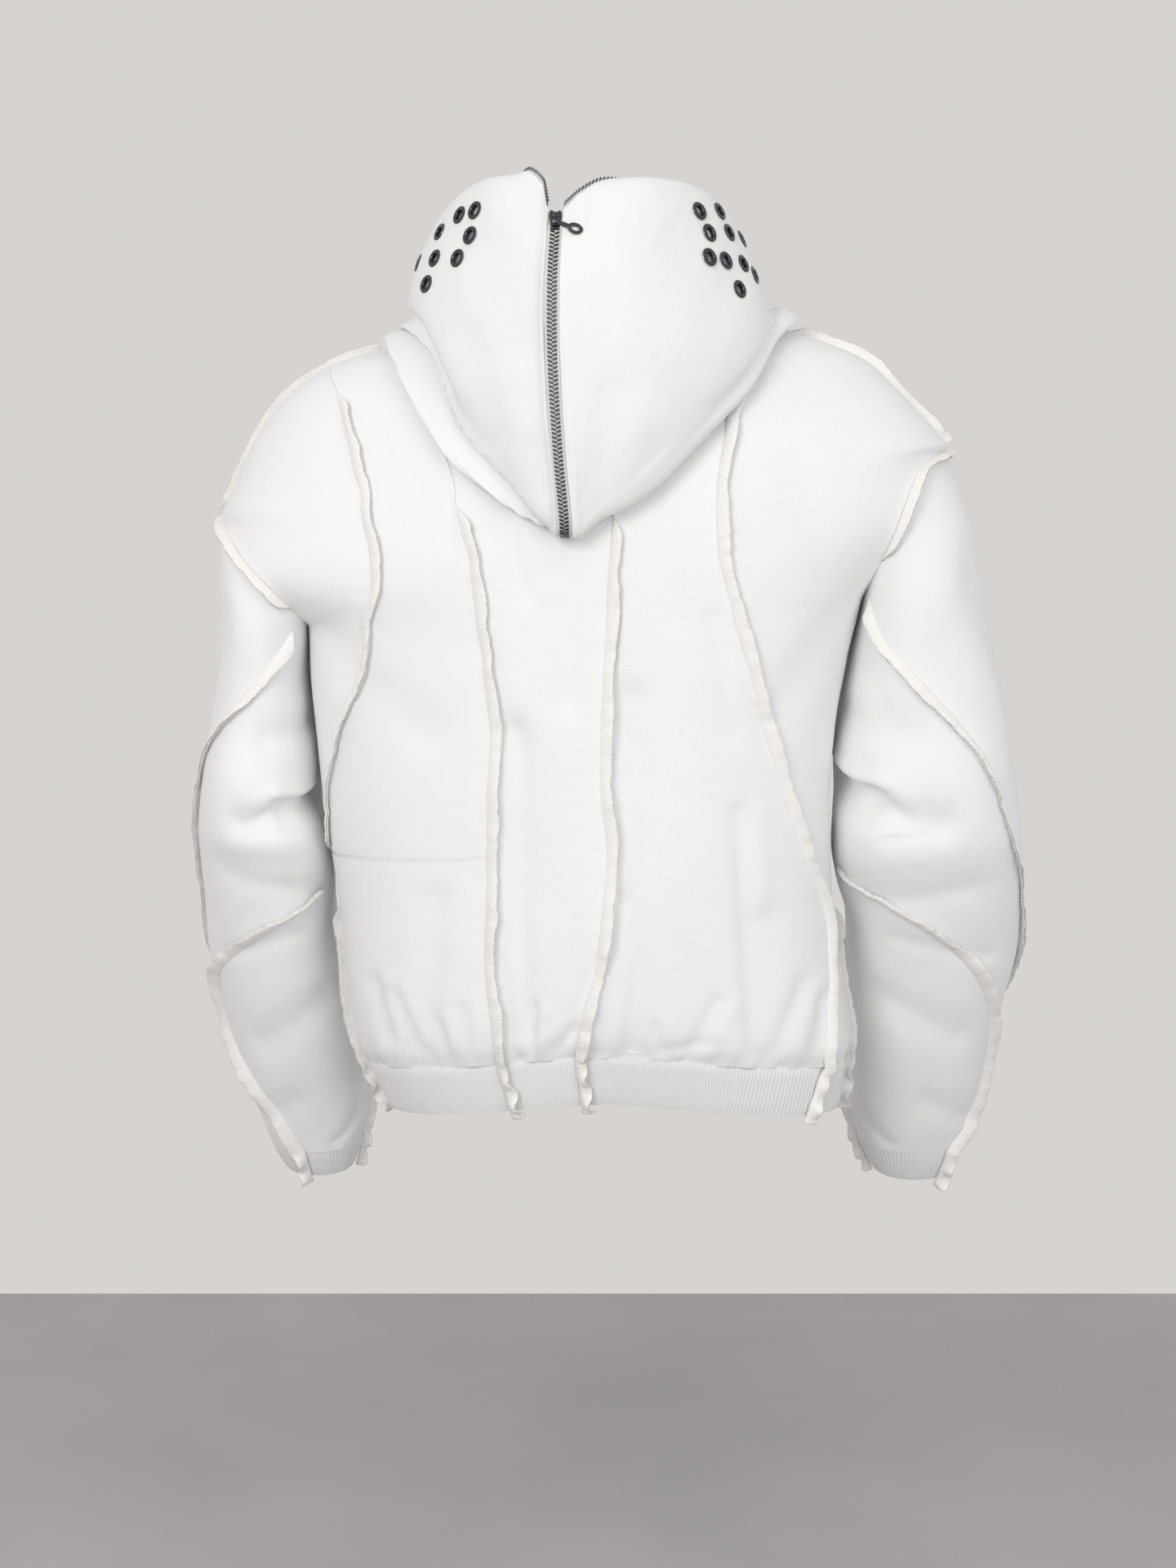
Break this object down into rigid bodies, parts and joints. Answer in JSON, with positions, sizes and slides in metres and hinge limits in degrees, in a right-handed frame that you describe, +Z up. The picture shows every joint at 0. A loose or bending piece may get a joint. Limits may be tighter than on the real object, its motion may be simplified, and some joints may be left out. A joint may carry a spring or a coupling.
{
  "type": "zip up hoodie",
  "caption": "Worn, hollow zip up hoodie with raised raw seams, ribbed hem and cuffs, eyelets, and a zip that carries on over the hood.",
  "frame": {"origin": "on the centre line at neck and shoulder height, where the wearer's shoulders carry it", "axes": "+Z up, -Y the wearer's front, +Y the back, +X the wearer's left"},
  "size_m": [0.7494, 0.3454, 0.8991],
  "materials": {
    "body_cloth": "brushed loopback jersey",
    "rib_knit": "ribbed knit",
    "raw_seam": "raw overlocked edges",
    "zip_chain": "white tape with metal teeth",
    "gunmetal": "polished gunmetal"
  },
  "bodies": {
    "hoodie": {"back_panel_1": "body_cloth", "back_panel_2": "body_cloth", "back_panel_3": "body_cloth", "back_panel_4": "body_cloth", "back_panel_5": "body_cloth", "front_left": "body_cloth", "front_right": "body_cloth", "hem_rib": "rib_knit", "back_seam_1": "raw_seam", "back_seam_2": "raw_seam", "back_seam_3": "raw_seam", "back_seam_4": "raw_seam", "side_seam_left": "raw_seam", "side_seam_right": "raw_seam", "shoulder_seam_left": "raw_seam", "shoulder_seam_right": "raw_seam", "sleeve_left_top": "body_cloth", "sleeve_left_back": "body_cloth", "sleeve_left_lower": "body_cloth", "cuff_left": "rib_knit", "armhole_seam_left": "raw_seam", "sleeve_seam_a_left": "raw_seam", "sleeve_seam_b_left": "raw_seam", "under_seam_left": "raw_seam", "eyelet_left_1": "gunmetal", "eyelet_left_2": "gunmetal", "eyelet_left_3": "gunmetal", "eyelet_left_4": "gunmetal", "eyelet_left_5": "gunmetal", "eyelet_left_6": "gunmetal", "eyelet_left_7": "gunmetal", "eyelet_left_8": "gunmetal", "hood_left": "body_cloth", "sleeve_right_top": "body_cloth", "sleeve_right_back": "body_cloth", "sleeve_right_lower": "body_cloth", "cuff_right": "rib_knit", "armhole_seam_right": "raw_seam", "sleeve_seam_a_right": "raw_seam", "sleeve_seam_b_right": "raw_seam", "under_seam_right": "raw_seam", "eyelet_right_1": "gunmetal", "eyelet_right_2": "gunmetal", "eyelet_right_3": "gunmetal", "eyelet_right_4": "gunmetal", "eyelet_right_5": "gunmetal", "eyelet_right_6": "gunmetal", "eyelet_right_7": "gunmetal", "eyelet_right_8": "gunmetal", "eyelet_right_9": "gunmetal", "eyelet_right_10": "gunmetal", "hood_right": "body_cloth", "hood_zip": "zip_chain", "front_zip": "zip_chain", "open_zip_left": "zip_chain", "open_zip_right": "zip_chain", "hood_slider": "gunmetal", "front_slider": "gunmetal"},
    "hood_pull": {"hood_pull": "gunmetal"},
    "front_pull": {"front_pull": "gunmetal"}
  },
  "joints": [
    {"name": "hood_pull_swing", "type": "hinge", "parent": "hoodie", "child": "hood_pull", "pos_m": [0.03767, 0.16372, 0.07472], "axis": [-0.0073, 0.9793, 0.2025], "range_deg": [-162, 18]},
    {"name": "front_pull_swing", "type": "hinge", "parent": "hoodie", "child": "front_pull", "pos_m": [0, -0.08091, -0.03646], "axis": [0, -0.9965, 0.0836], "range_deg": [-90, 90]}
  ]
}
